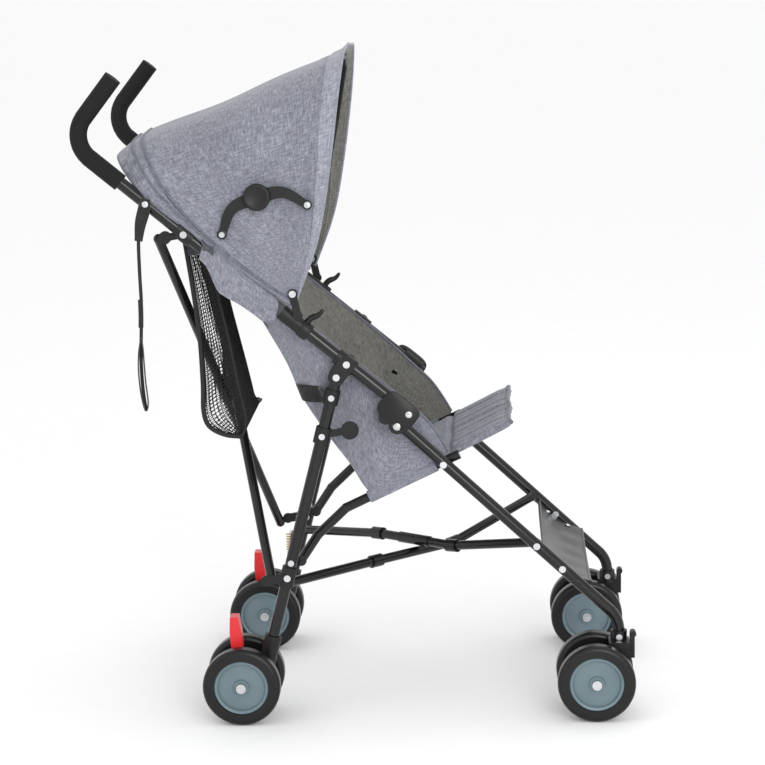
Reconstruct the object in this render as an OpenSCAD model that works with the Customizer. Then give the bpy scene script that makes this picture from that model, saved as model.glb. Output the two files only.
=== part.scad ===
// Umbrella stroller: folding frame, twin wheels, sling seat, canopy and mesh bag.
// Front is +X, up is +Z, the ground is Z = 0. All sizes in millimetres.
// The right side is drawn at negative Y, and the left side is its mirror image.

/* [Overall] */
// Distance between the two side frames, centre to centre
track = 390; // [360:1:420]
// Rear axle to front axle
wheelbase = 514; // [480:1:540]
// Wheel diameter
wheel_d = 113; // [100:1:130]
// Height of the push tube's line above the rear axle
push_z = 655.2; // [630:0.1:680]
// Slope of the push tube
push_angle = 39.6; // [35:0.1:45]
// Slope of the front leg
front_angle = 42.7; // [38:0.1:48]
// Lean of the rear leg from upright
rear_angle = 14.57; // [10:0.01:20]

/* [Tubes] */
// Push tube diameter
push_d = 18; // [16:0.5:20]
// Leg tube diameter
leg_d = 17; // [15:0.5:19]
// Cross brace and seat rail diameter
brace_d = 14; // [12:0.5:16]
// Tube wall
tube_wall = 1.4; // [1:0.1:2]
// Sideways step from the push tube to the front leg
layer = 19; // [18.5:0.5:22]
// Running clearance of pins in their holes
run = 0.05; // [0.02:0.01:0.1]

/* [Handle] */
// Where the foam grip starts on the push tube
grip_x = -158; // [-165:1:-150]
// Straight grip length below the bend
grip_low = 54.79; // [35:0.01:65]
// Bend radius of the handle hook
hook_r = 42; // [36:1:75]
// Direction of the grip's end above level
hook_end = 52; // [20:1:60]
// Straight grip length above the bend
grip_high = 70; // [15:1:80]
// Foam grip diameter
grip_d = 25; // [22:0.5:30]

/* [Wheels] */
// Tyre width
tyre_w = 26; // [20:1:30]
// Spacing of the two wheels of a pair
pair = 75; // [68:1:80]
// Hub disc diameter
hub_d = 80; // [70:1:86]
// Axle diameter
axle_d = 8; // [6:0.5:10]
// Caster trail
trail = 34; // [25:1:40]

/* [Seat] */
// Space between the sling seat's side and the seat rail
seat_gap = 2; // [0.5:0.1:12]
// Seat padding thickness
pad = 10; // [6:1:14]

/* [Canopy] */
// Pivot of the canopy bows along the stroller
can_x = 84; // [75:1:95]
// Pivot of the canopy bows above the ground
can_z = 626; // [615:1:640]
// How far the canopy's side stands out from the push tube's axis
can_out = 8; // [6:0.5:12]
// Canopy cloth thickness in this model
cloth = 3; // [2:0.5:4]

/* [Hidden] */
$fn = 64;
wheel_r = wheel_d / 2;
push_r = push_d / 2;
leg_r = leg_d / 2;
brace_r = brace_d / 2;
y_push = -track / 2;
y_front = y_push + layer;
y_rail = y_front + leg_r + brace_r + 0.5;
y_caster = y_front - 8;
seat_half = -y_rail - brace_r - seat_gap;
can_half = can_out - y_push;
// points in the side view, as [x, z]
hinge_p = [144, 505];
fork_j = [230, 434];
swivel_x = wheelbase + trail;
leg_corner = on_front(swivel_x);
cross_top = [-97, 707];
cross_low = [36, 205];
cross_dir = unit(cross_low - cross_top);
cross_n = [-cross_dir[1], cross_dir[0]];
cross_half = track / 2 - 12;
brace_front = [429, 249];
brace_rear = [70, 194];
brace_mid = [247, 208];
brace_yf = track / 2 - 42;
brace_yr = track / 2 - 30;
rail_rear = [85, 226.5];
rail_front = [295, 372];
plate_y0 = y_push - push_r - 3.2;
lock_z = 232;
y_lock = y_push + leg_r + 3.8;
stay_a = [-14, 712];
stay_k = [37, 765];
stay_b = [108, 753];
push_dir = [cos(push_angle), -sin(push_angle)];
rear_dir = [-sin(rear_angle), -cos(rear_angle)];
front_dir = [cos(front_angle), -sin(front_angle)];
// how far the swivel lock, the foremost thing, stands ahead of the swivel
lock_reach = 24.7;
// centre of the handle hook, which is the rearmost thing
hook_c = on_push(grip_x) - push_dir * grip_low + hook_r * [sin(push_angle), cos(push_angle)];
// middle of the whole length, so that the origin is under the box's centre
x_mid = (swivel_x + lock_reach + hook_c[0] - hook_r - grip_d / 2) / 2;

function unit(v) = v / norm(v);
function on_push(x) = [x, push_z - x * tan(push_angle)];
function on_rear(z) = [hinge_p[0] - (hinge_p[1] - z) * tan(rear_angle), z];
function on_front(x) = [x, fork_j[1] - (x - fork_j[0]) * tan(front_angle)];
function at(p, y) = [p[0], y, p[1]];

// Node to draw

// a round bar from a to b
module rod(a, b, r) {
  d = b - a;
  translate(a)
    rotate([0, acos(d[2] / norm(d)), atan2(d[1], d[0])])
      cylinder(r = r, h = norm(d));
}

// a tube from a to b
module pipe(a, b, r, wall = tube_wall) {
  d = unit(b - a);
  difference() {
    rod(a, b, r);
    rod(a - d, b + d, r - wall);
  }
}

// a bar along Y through p, from y0 to y1
module bar_y(p, y0, y1, r) {
  translate([p[0], y1, p[1]])
    rotate([90, 0, 0])
      cylinder(r = r, h = y1 - y0);
}

// a straight link in the side view from p to q, with round eyes of radius r
module link_plate(p, q, y0, y1, r) {
  d = q - p;
  e = r > 6 ? 4 : 3.6;
  w = sqrt(r * r - e * e) - 0.1;
  bar_y(p, y0, y1, r);
  bar_y(q, y0, y1, r);
  translate([p[0], y1, p[1]])
    rotate([90, 0, 0])
      rotate([0, 0, atan2(d[1], d[0])])
        translate([e, -w, 0])
          cube([norm(d) - 2 * e, 2 * w, y1 - y0]);
}

// a side view polygon given thickness along Y
module side_plate(points, y0, y1) {
  translate([0, y1, 0])
    rotate([90, 0, 0])
      linear_extrude(y1 - y0)
        polygon(points);
}

// a straight link like link_plate, its ends cut in short flats
module flat_link(p, q, y0, y1, r) {
  a = atan2(q[1] - p[1], q[0] - p[0]);
  k = r / cos(11.25);
  side_plate(concat(
    [for (i = [0 : 7]) p + k * [cos(a + 101.25 + 22.5 * i), sin(a + 101.25 + 22.5 * i)]],
    [for (i = [0 : 7]) q + k * [cos(a - 78.75 + 22.5 * i), sin(a - 78.75 + 22.5 * i)]]), y0, y1);
}

// a collar of length len about a tube through p along direction d, bored later with the tube's hole
module collar(p, d, y, r_out, len) {
  rod(at(p - d * len / 2, y), at(p + d * len / 2, y), r_out);
}

// a ring clamp of length len round a tube through p along direction d
module ring(p, d, y, r_in, r_out, len) {
  a = at(p - d * len / 2, y);
  b = at(p + d * len / 2, y);
  difference() {
    rod(a, b, r_out);
    rod(a - at(d, 0), b + at(d, 0), r_in);
  }
}

module push_tube_right() {
  color("black")
    difference() {
      pipe(at(on_push(grip_x) - push_dir * (grip_low - 2), y_push), at(on_push(255), y_push), push_r);
      for (x = [-69, 159, 247]) {
        bar_y(on_push(x), y_push - 20, y_push + 20, 2.5 + run);
      }
    }
}

// hooked foam grip: a straight length over the tube, a bend, and a straight end
module handle_grip_right() {
  r = grip_d / 2;
  p0 = on_push(grip_x);
  p1 = p0 - push_dir * grip_low;
  c = hook_c;
  a1 = 270 - push_angle;
  a0 = hook_end + 90;
  p2 = c + hook_r * [cos(a0), sin(a0)];
  e = [cos(hook_end), sin(hook_end)];
  p3 = p2 + grip_high * e;
  color("black") {
    difference() {
      rod(at(p0, y_push), at(p1 - push_dir * 3, y_push), r + 0.3);
      rod(at(p0 + push_dir, y_push), at(p1 + push_dir * 1.5, y_push), push_r + run);
    }
    translate([c[0], y_push, c[1]])
      rotate([90, 0, 0])
        rotate([0, 0, a0])
          rotate_extrude(angle = a1 - a0)
            translate([hook_r, 0])
              circle(r);
    rod(at(p2 - 3 * e, y_push), at(p3, y_push), r + 0.3);
  }
}

// the push tube's hole through a bracket between x0 and x1
module push_bore(x0, x1) {
  rod(at(on_push(x0), y_push), at(on_push(x1), y_push), push_r + run);
}

// a hole for a pin of radius r along Y through p
module pin_hole(p, r) {
  bar_y(p, y_push - 30, y_push + 30, r + run);
}

// clamps and plates fixed to the push tube
module frame_brackets_right() {
  color("black") {
    // hinge plates for the rear leg
    difference() {
      union() {
        collar(on_push(157), push_dir, y_push, push_r + 3, 32);
        flat_link(on_push(159), hinge_p, plate_y0 - 0.2, plate_y0 + 2.4, 12);
        flat_link(on_push(159), hinge_p, y_push + push_r + 0.7, y_push + push_r + 3.4, 12);
      }
      push_bore(120, 200);
      pin_hole(on_push(159), 2.5);
      pin_hole(hinge_p, 3);
    }
    // plate for the front leg, cut flat where the leg swings past
    difference() {
      union() {
        collar(on_push(238), push_dir, y_push, push_r + 3, 34);
        link_plate(on_push(247), fork_j, plate_y0 - 0.2, plate_y0 + 3, 12);
        link_plate(on_push(222), fork_j - [16, -13], plate_y0 - 0.2, plate_y0 + 3, 11);
        bar_y(fork_j, plate_y0, y_front - leg_r - 0.7, 7);
      }
      push_bore(200, 255.5);
      translate([205, y_front - leg_r - 0.7, 380])
        cube([100, 40, 140]);
      pin_hole(on_push(247), 2.5);
      pin_hole(fork_j, 4);
    }
    // arm for the rear cross brace
    difference() {
      union() {
        collar(on_push(-69), push_dir, y_push, push_r + 3.2, 28);
        rod(at(on_push(-69) + [-9, -2], y_push - 1.2), at(cross_top, y_push - 1.2), 5.4);
        bar_y(cross_top, y_push - 5, y_push + 4.4, 9.2);
      }
      push_bore(-100, -40);
      pin_hole(on_push(-69), 2.5);
    }
    // canopy pivot lug
    difference() {
      union() {
        collar(on_push(can_x), push_dir, y_push, push_r + 2.6, 44);
        link_plate(on_push(can_x) + [7, 8.5], [can_x, can_z], -can_half - 4.2, -can_half - 0.6, 7);
      }
      push_bore(50, 120);
      pin_hole([can_x, can_z], 3);
    }
    // canopy stay lug
    difference() {
      union() {
        collar(on_push(-14), push_dir, y_push, push_r + 2.6, 20);
        rod(at(on_push(-14) + [5, 6], -can_half + cloth + 4), at(stay_a + [0.6, -5], -can_half + cloth + 4), 3.2);
        bar_y(stay_a, -can_half + cloth + 0.6, -can_half + cloth + 3.6, 6);
      }
      push_bore(-40, 20);
      pin_hole(stay_a, 2.5);
    }
  }
}

// a rivet along Y with a round head at each end
module rivet(p, y0, y1, r, head) {
  bar_y(p, y0, y1, r);
  bar_y(p, y0 - 2, y0, head);
  bar_y(p, y1, y1 + 2, head);
}

module frame_pins_right() {
  color("silver") {
    rivet(hinge_p, plate_y0 - 0.3, y_push + push_r + 3.6, 3, 5);
    rivet(fork_j, plate_y0 - 0.3, y_front + leg_r + 0.4, 4, 6);
    rivet(on_push(159), plate_y0 - 0.3, y_push + push_r + 3.6, 2.5, 5);
    bar_y(on_push(247), plate_y0 - 0.3, y_push + push_r - 0.5, 2.5);
    bar_y(on_push(247), plate_y0 - 2.3, plate_y0 - 0.3, 5);
    rivet(on_push(-69), y_push - push_r - 3.4, y_push + push_r + 3.4, 2.5, 5);
    rivet([can_x, can_z], -can_half - 4.4, -can_half + cloth + 8.2, 3, 5);
    rivet(stay_a, -can_half - 7.4, -can_half + cloth + 3.8, 2.5, 4);
  }
}

module rear_leg_right() {
  color("black")
    difference() {
      pipe(at(hinge_p - rear_dir * 7, y_push), at(on_rear(78), y_push), leg_r);
      bar_y(hinge_p, y_push - 20, y_push + 20, 3 + run);
      bar_y(on_rear(475), y_push - 20, y_push + 20, 2.5 + run);
      bar_y(on_rear(419), y_push - 20, y_push + 20, 2.5 + run);
      bar_y(on_rear(210), y_push - 20, y_push + 20, 2.5 + run);
      bar_y(on_rear(lock_z), y_push - 20, y_push + 20, 2.5 + run);
    }
}

// collars and the lower cross bracket on the rear leg
module rear_brackets_right() {
  color("black")
    difference() {
      union() {
        collar(on_rear(475), rear_dir, y_push, leg_r + 2.6, 22);
        collar(on_rear(419), rear_dir, y_push, leg_r + 3, 24);
        link_plate(on_rear(419), on_rear(419) + [40, 8], y_push - 5, y_push + 3, 6);
        bar_y(on_rear(419) + [40, 8], y_push - 8, y_push - 3, 13);
        collar(on_rear(210), rear_dir, y_push, leg_r + 2.6, 30);
        link_plate(on_rear(210) + [-12, -2], cross_low, y_push - 8, y_push - 4, 8);
      }
      rod(at(on_rear(60), y_push), at(on_rear(520), y_push), leg_r + run);
      for (z = [475, 419, 210]) {
        bar_y(on_rear(z), y_push - 30, y_push + 30, 2.5 + run);
      }
    }
}

brake_p = [-6, 96];

module wheel_housing_right() {
  color("black")
    difference() {
      union() {
        bar_y([0, wheel_r], y_push - 23, y_push + 23, 15);
        rod(at(on_rear(70), y_push), at(on_rear(122), y_push), leg_r + 4);
        side_plate([[-6, 44], [16, 48], [40, 76], [36, 98], [14, 84], [-13, 68]], y_push - 12, y_push + 12);
        link_plate([0, wheel_r + 6], brake_p, y_push - 5, y_push + 5, 7.5);
      }
      rod(at(on_rear(77), y_push), at(on_rear(130), y_push), leg_r + run);
      bar_y([0, wheel_r], y_push - 40, y_push + 40, axle_d / 2 + run);
      bar_y(brake_p, y_push - 40, y_push + 40, 3 + run);
    }
}

// a twin axle along Y at p, centred on y
module axle(p, y) {
  bar_y(p, y - pair / 2 - tyre_w / 2 - 0.5, y + pair / 2 + tyre_w / 2 + 0.5, axle_d / 2);
  bar_y(p, y - pair / 2 - tyre_w / 2 - 3.5, y - pair / 2 - tyre_w / 2 - 0.4, 7);
  bar_y(p, y + pair / 2 + tyre_w / 2 + 0.4, y + pair / 2 + tyre_w / 2 + 3.5, 7);
}

module rear_pins_right() {
  color("silver") {
    axle([0, wheel_r], y_push);
    rivet(on_rear(475), y_push - leg_r - 2.8, y_push + leg_r + 2.8, 2.5, 4.5);
    rivet(on_rear(419), y_push - leg_r - 3.2, y_push + leg_r + 3.2, 2.5, 4.5);
    rivet(on_rear(210), y_push - leg_r - 2.8, y_push + leg_r + 2.8, 2.5, 5);
    rivet(on_rear(lock_z), y_push - leg_r - 0.4, y_lock + 3.4, 2.5, 4.5);
    rivet(brake_p, y_push - 12, y_push + 12, 3, 4.5);
  }
}

// the two tyres of a pair whose axle is at p, centred on y
module tyres(p, y) {
  for (s = [-1, 1]) {
    translate([p[0], y + s * pair / 2, p[1]])
      rotate([90, 0, 0])
        rotate_extrude($fn = 96) {
          translate([hub_d / 2, -tyre_w / 2])
            square([wheel_r - hub_d / 2 - 7, tyre_w]);
          for (t = [-1, 1]) {
            translate([wheel_r - 7, t * (tyre_w / 2 - 7)])
              circle(7);
          }
          translate([wheel_r - 8, -(tyre_w / 2 - 7)])
            square([8, tyre_w - 14]);
        }
  }
}

// the two hub discs of a pair
module hubs(p, y) {
  hr = hub_d / 2 - 0.02;
  for (s = [-1, 1]) {
    translate([p[0], y + s * pair / 2, p[1]])
      rotate([90, 0, 0])
        rotate_extrude($fn = 96)
          polygon([[axle_d / 2 + run, -11], [11, -11], [12, -7.5], [hr - 6, -6], [hr - 5, -10.5],
            [hr - 1.5, -11.5], [hr, -10], [hr, 10], [hr - 1.5, 11.5], [hr - 5, 10.5],
            [hr - 6, 6], [12, 7.5], [11, 11], [axle_d / 2 + run, 11]]);
  }
}

module rear_tyres_right() {
  color("black")
    tyres([0, wheel_r], y_push);
}

module rear_hubs_right() {
  color("lightslategray")
    hubs([0, wheel_r], y_push);
}

// foot pedal that brakes the rear wheels
module brake_lever_right() {
  color("red")
    difference() {
      union() {
        for (y = [y_push - 11.5, y_push + 5.5]) {
          link_plate(brake_p, brake_p + [-3, 16], y, y + 6, 7);
        }
        side_plate([[-17, 106], [0, 106], [-2, 130], [-6, 152], [-18, 152], [-19, 128]],
          y_push - 11.5, y_push + 11.5);
      }
      bar_y(brake_p, y_push - 40, y_push + 40, 3 + run);
      bar_y(brake_p, y_push - 5.5, y_push + 5.5, 11);
    }
}

module front_leg_right() {
  bend = 40;
  turn = 90 - front_angle;
  t = bend * tan(turn / 2);
  corner = [swivel_x, leg_corner[1]];
  p1 = corner - front_dir * t;
  c = [swivel_x - bend, corner[1] - t];
  color("black")
    difference() {
      union() {
        pipe(at(fork_j - front_dir * 26, y_front), at(p1 + front_dir * 3, y_front), leg_r);
        translate([c[0], y_front, c[1]])
          rotate([90, 0, 0])
            rotate_extrude(angle = turn)
              translate([bend, 0])
                difference() {
                  circle(leg_r - 0.2);
                  circle(leg_r - tube_wall - 0.2);
                }
        pipe(at(c + [bend, 3], y_front), [swivel_x, y_front, 108], leg_r);
      }
      bar_y(fork_j, y_front - 20, y_front + 20, 4 + run);
      bar_y(rail_front, y_front - 20, y_front + 20, 3 + run);
      for (x = [429, 466]) {
        bar_y(on_front(x), y_front - 20, y_front + 20, 2.5 + run);
      }
      bar_y([swivel_x, 115], y_front - 20, y_front + 20, 2.5 + run);
    }
}

module front_pins_right() {
  color("silver") {
    rivet(rail_front, y_front - leg_r - 0.4, y_rail + brace_r + 0.4, 3, 5);
    rivet(on_front(brace_front[0]), y_front - leg_r - 0.4, -brace_yf - brace_r - 3.3, 2.5, 5);
    rivet(on_front(466), y_front - leg_r - 0.4, y_front + leg_r + 0.3, 2.5, 5);
    rivet([swivel_x, 115], y_front - leg_r - 3.7, y_front + leg_r + 3.7, 2.5, 4.5);
  }
}

// plastic head on the foot of the front leg
module caster_head_right() {
  color("black")
    difference() {
      union() {
        translate([swivel_x - 15, y_caster - 18, 84])
          cube([30, 36, 26]);
        for (s = [-1, 1]) {
          bar_y([swivel_x + 13, 92], y_caster + s * 10.8 - 3.2, y_caster + s * 10.8 + 3.2, 6);
        }
        translate([swivel_x, y_front, 104])
          cylinder(r = leg_r + 3.5, h = 19);
      }
      translate([swivel_x, y_front, 107.9])
        cylinder(r = leg_r + run, h = 80);
      translate([swivel_x, y_caster, 80])
        cylinder(r = 5 + run, h = 24);
      bar_y([swivel_x, 115], y_front - 40, y_front + 40, 2.5 + run);
    }
}

// swivelling fork between the two front wheels
module caster_fork_right() {
  color("black")
    difference() {
      union() {
        translate([swivel_x, y_caster, 70])
          cylinder(r = 5, h = 33);
        translate([swivel_x, y_caster, 76])
          cylinder(r = 14.5, h = 7.4);
        side_plate([[wheelbase - 6, 44], [wheelbase + 12, 47], [swivel_x + 12, 70], [swivel_x + 13, 78],
          [swivel_x - 14, 78], [wheelbase - 12, 68]], y_caster - 12, y_caster + 12);
        bar_y([wheelbase, wheel_r], y_caster - 23, y_caster + 23, 14);
      }
      bar_y([wheelbase, wheel_r], y_caster - 60, y_caster + 60, axle_d / 2 + run);
    }
}

module front_axle_right() {
  color("silver")
    axle([wheelbase, wheel_r], y_caster);
}

module front_tyres_right() {
  color("black")
    tyres([wheelbase, wheel_r], y_caster);
}

module front_hubs_right() {
  color("lightslategray")
    hubs([wheelbase, wheel_r], y_caster);
}

// slider that stops the caster from swivelling
module swivel_lock_right() {
  color("black") {
    translate([swivel_x + 15.4, y_caster - 7, 84.5])
      cube([7.1, 14, 34.5]);
    bar_y([swivel_x + lock_reach - 4.6, 120], y_caster - 7, y_caster + 7, 4.6);
  }
}

// curved tube under the edge of the seat
module seat_rail_right() {
  k1 = [110, 264];
  k2 = [152, 304];
  color("black")
    difference() {
      union() {
        rod(at(rail_rear, y_rail), at(k1, y_rail), brace_r);
        rod(at(k1, y_rail), at(k2, y_rail), brace_r);
        rod(at(k2, y_rail), at([318, 383], y_rail), brace_r);
        translate(at(k1, y_rail))
          sphere(brace_r + 0.3);
        translate(at(k2, y_rail))
          sphere(brace_r + 0.3);
        bar_y(rail_rear, y_rail - brace_r, y_rail + brace_r, brace_r + 1);
      }
      bar_y(rail_front, y_rail - 20, y_rail + 20, 3 + run);
    }
}

// one straight brace of the rear cross, from the top of one side to the foot of the other
module rear_cross(side, off) {
  a = at(cross_top + cross_n * off, side * cross_half);
  b = at(cross_low + cross_n * off, -side * cross_half);
  m = (a + b) / 2;
  d = unit(b - a);
  color("black") {
    rod(a, b, brace_r);
    translate(a)
      sphere(brace_r + 0.3);
    translate(b)
      sphere(brace_r + 0.3);
    if (side < 0) {
      rod(m - d * 24, m + d * 24, brace_r + 1.4);
    }
  }
}

module rear_cross_a() {
  rear_cross(-1, -11.2);
}

module rear_cross_b() {
  rear_cross(1, 6.2);
}

// one bent brace of the bottom cross, from one front leg to the other rear leg
module bottom_cross(side, up) {
  f = at(brace_front, side * brace_yf);
  r = at(brace_rear, -side * brace_yr);
  k1 = at(brace_mid + [58, up + 2], side * 48);
  k2 = at(brace_mid + [-58, up - 2], -side * 52);
  // the fold turns about this line, so the end is a round tongue along it
  ax = [0.45675, -side * 0.62511, 0.63294];
  color("black") {
    rod(f, k1, brace_r);
    rod(k1, k2, brace_r);
    rod(k2, r, brace_r);
    rod(f - 3 * ax, f + 3 * ax, brace_r + 0.6);
    for (e = [[f, k1, k2], [k1, k2, r]]) {
      d = unit(unit(e[1] - e[0]) + unit(e[2] - e[1]));
      rod(e[1] - 10 * d, e[1] + 10 * d, brace_r + 2.6);
    }
    if (up > 0) {
      rod(k1 + 0.3 * (k2 - k1), k1 + 0.7 * (k2 - k1), brace_r + 1.4);
    }
  }
}

module bottom_cross_a() {
  bottom_cross(-1, 9);
}

module bottom_cross_b() {
  bottom_cross(1, -9);
}

// vinyl footrest slung between the front legs
module footrest() {
  half = -y_front - leg_r - 3;
  color("black")
    side_plate([[438, 238], [446, 226], [470, 204], [506, 190], [508, 194], [474, 209],
      [450, 231], [442, 243]], -half, half);
}

// sling back of the seat with its side panels and the sleeves that hang it on the push tubes
module seat_back() {
  s0 = on_push(5);
  s1 = on_push(55);
  color("slategray") {
    for (y = [y_push, -y_push]) {
      ring((s0 + s1) / 2, push_dir, y, push_r + 0.3, push_r + 2.3, norm(s1 - s0));
    }
    for (y = [seat_half - 1, y_push + push_r + 0.6]) {
      w = -y_push - push_r - 0.6 - seat_half + 1;
      side_plate([s0, s1, s1 - [0, 3], s0 - [0, 3]], y, y + w);
    }
    side_plate([[14, 615], [37, 578], [69, 520], [95, 468], [150, 385], [186, 338], [196, 341],
      [160, 391], [106, 473], [79, 525], [46, 584], [24, 622]], -seat_half, seat_half);
    for (y = [-seat_half, seat_half - cloth]) {
      side_plate([[22, 618], [60, 560], [100, 470], [160, 385], [192, 338], [262, 366],
        [292, 384], [284, 410], [222, 472], [120, 562], [40, 628]], y, y + cloth);
    }
  }
}

// padded seat base and front flap
module seat_base() {
  color("slategray")
    side_plate([[192, 326], [206, 322], [290, 361], [384, 414], [393, 424], [388, 430],
      [284, 374], [206, 337], [196.2, 340.7]], -seat_half + cloth + 1, seat_half - cloth - 1);
}

// open mesh bag behind the seat
module storage_bag() {
  half = 150;
  w = 2;
  outer = [[-70, 690], [-36, 560], [-8, 450], [0, 424], [14, 414], [28, 424], [30, 450],
    [16, 560], [2, 640], [-2, 690]];
  inner = [[-68, 700], [-33.6, 560], [-5.6, 450], [2, 426], [14, 417], [26, 426], [27.6, 450],
    [13.6, 560], [-0.6, 640], [-4.4, 700]];
  tab = on_push(-40);
  w2 = -y_push - push_r - 0.6 - half + 1;
  color("dimgray") {
    difference() {
      side_plate(outer, -half, half);
      side_plate(inner, -half + w, half - w);
    }
    for (y = [y_push, -y_push]) {
      ring(tab, push_dir, y, push_r + 0.3, push_r + 2.3, 16);
    }
    for (y = [half - 1, y_push + push_r + 0.6]) {
      side_plate([tab + [-6, -1], tab + [6, -1], tab + [6, 1], tab + [-6, 1]],
        y, y + w2);
    }
  }
}

// webbing round the back of the seat, between the rear legs
module back_strap() {
  color("black") {
    side_plate([[81.9, 487.7], [84.1, 488.8], [97.1, 462.8], [94.9, 461.7]], -164, 164);
    for (s = [-1, 1]) {
      translate([82, s == 1 ? 161 : -164, 462])
        cube([38.6, 3, 25]);
      translate([117.6, s == 1 ? 161 : -196, 462])
        cube([3, 35, 25]);
    }
  }
}

// flat safety strap hanging from the right handle
module wrist_strap() {
  y = y_push - push_r - 4;
  color("black") {
    side_plate([[-128, 764], [-116, 764], [-129, 706], [-128, 617], [-129, 530], [-126, 459],
      [-134, 456], [-141, 530], [-136, 617], [-139, 706]], y, y + 2);
    bar_y(on_push(-122), y, y + 3.8, 5);
  }
}

// latch lever held by the lower cross bracket on the right leg
module fold_lock() {
  color("dimgray")
    difference() {
      union() {
        link_plate(on_rear(lock_z), on_rear(250) + [-2, 0], y_lock, y_lock + 3, 6);
        link_plate(on_rear(250) + [-2, 0], on_rear(300) + [-4, 0], y_lock, y_lock + 3, 6);
        bar_y(on_rear(292) + [-4, 0], y_lock + 2, y_lock + 9, 6);
      }
      bar_y(on_rear(lock_z), y_lock - 5, y_lock + 8, 2.5 + run);
    }
}

// rounded top outline of the canopy across the stroller
module can_outline(inset) {
  r = 100 - inset;
  w = can_half - inset;
  translate([-w, -400])
    square([2 * w, 400 - inset - r]);
  translate([-w + r, -400])
    square([2 * (w - r), 400 - inset]);
  for (s = [-1, 1]) {
    translate([s * (w - r), -inset - r])
      circle(r);
  }
}

// canopy as a closed block, made smaller all round by inset
module can_block(inset, grow) {
  intersection() {
    translate([152, 0, 964])
      rotate([0, -20.3, 0])
        translate([-420, 0, 0])
          rotate([90, 0, 90])
            linear_extrude(640)
              can_outline(inset);
    side_plate([[91 + grow, 612 - grow], [118 + grow, 694], [133 + grow, 770], [153 + grow, 966], [86, 930],
      [-4, 890], [-95, 858], [-147 + grow / 8, 853], [-176 + inset, 824], [-150 + grow / 5, 796 - grow],
      [-112 + grow / 5, 761 - grow], [-70, 731 - grow], [-51, 718 - grow], [80, 609 - grow]], -can_half, can_half);
  }
}

module canopy_right() {
  color("slategray")
    intersection() {
      difference() {
        can_block(0, 0);
        can_block(cloth, 20);
      }
      difference() {
        translate([-300, -300, 500])
          cube([600, 299.8, 600]);
        bar_y([can_x, can_z], -300, -100, 3.6);
        bar_y(stay_a, -300, -100, 3.2);
        bar_y(stay_b, -300, -100, 3.2);
      }
    }
}

// right half of the bow that spreads the canopy's front edge
module canopy_bow_right() {
  y = -can_half + cloth + 4.5;
  d = unit([148 - can_x, 950 - can_z]);
  p = [can_x, can_z];
  color("black")
    difference() {
      union() {
        bar_y(p, y - 3, y + 3, 8);
        bar_y(stay_b, -can_half - 0.6, y, 2.5);
        rod(at(p, y), at(p + d * 228, y), 3.5);
        rod(at(p + d * 228, y), at(p + d * 310, y + 34), 3.5);
        rod(at(p + d * 310, y + 34), at(p + d * 328, y + 100), 3.5);
        rod(at(p + d * 328, y + 100), at(p + d * 328, -0.4), 3.5);
        translate(at(p + d * 228, y))
          sphere(3.9);
        translate(at(p + d * 310, y + 34))
          sphere(3.9);
        translate(at(p + d * 328, y + 100))
          sphere(3.9);
      }
      bar_y(p, y - 20, y + 20, 3 + run);
    }
}

// rear arm of the canopy's elbow stay
module stay_rear_right() {
  color("black")
    difference() {
      union() {
        link_plate(stay_a, stay_k, -can_half - 4.2, -can_half - 1, 5);
        bar_y(stay_a, -can_half - 7, -can_half - 3, 6);
        bar_y(stay_k, -can_half - 12, -can_half - 3, 3);
        bar_y(stay_k, -can_half - 14.5, -can_half - 9.4, 18);
      }
      bar_y(stay_a, -can_half - 20, -can_half, 2.5 + run);
    }
}

// front arm of the canopy's elbow stay
module stay_front_right() {
  color("black")
    difference() {
      union() {
        link_plate(stay_k, stay_b, -can_half - 8.6, -can_half - 4.8, 5.5);
        bar_y(stay_b, -can_half - 11, -can_half - 5, 6);
      }
      bar_y(stay_k, -can_half - 20, -can_half, 3 + run);
    }
}

// every sub-part in its place; left ones are mirror images of right ones
module place() {
  translate([-x_mid, 0, 0])
    children();
}

module flip() {
  mirror([0, 1, 0])
    children();
}

place() push_tube_right();
place() flip() push_tube_right();  // push_tube_left
place() handle_grip_right();
place() flip() handle_grip_right();  // handle_grip_left
place() frame_brackets_right();
place() flip() frame_brackets_right();  // frame_brackets_left
place() frame_pins_right();
place() flip() frame_pins_right();  // frame_pins_left
place() rear_leg_right();
place() flip() rear_leg_right();  // rear_leg_left
place() rear_brackets_right();
place() flip() rear_brackets_right();  // rear_brackets_left
place() wheel_housing_right();
place() flip() wheel_housing_right();  // wheel_housing_left
place() rear_pins_right();
place() flip() rear_pins_right();  // rear_pins_left
place() rear_tyres_right();
place() flip() rear_tyres_right();  // rear_tyres_left
place() rear_hubs_right();
place() flip() rear_hubs_right();  // rear_hubs_left
place() brake_lever_right();
place() flip() brake_lever_right();  // brake_lever_left
place() front_leg_right();
place() flip() front_leg_right();  // front_leg_left
place() front_pins_right();
place() flip() front_pins_right();  // front_pins_left
place() caster_head_right();
place() flip() caster_head_right();  // caster_head_left
place() caster_fork_right();
place() flip() caster_fork_right();  // caster_fork_left
place() front_axle_right();
place() flip() front_axle_right();  // front_axle_left
place() front_tyres_right();
place() flip() front_tyres_right();  // front_tyres_left
place() front_hubs_right();
place() flip() front_hubs_right();  // front_hubs_left
place() swivel_lock_right();
place() flip() swivel_lock_right();  // swivel_lock_left
place() seat_rail_right();
place() flip() seat_rail_right();  // seat_rail_left
place() rear_cross_a();
place() rear_cross_b();
place() bottom_cross_a();
place() bottom_cross_b();
place() footrest();
place() seat_back();
place() seat_base();
place() storage_bag();
place() back_strap();
place() wrist_strap();
place() fold_lock();
place() canopy_right();
place() flip() canopy_right();  // canopy_left
place() canopy_bow_right();
place() flip() canopy_bow_right();  // canopy_bow_left
place() stay_rear_right();
place() flip() stay_rear_right();  // stay_rear_left
place() stay_front_right();
place() flip() stay_front_right();  // stay_front_left
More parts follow.
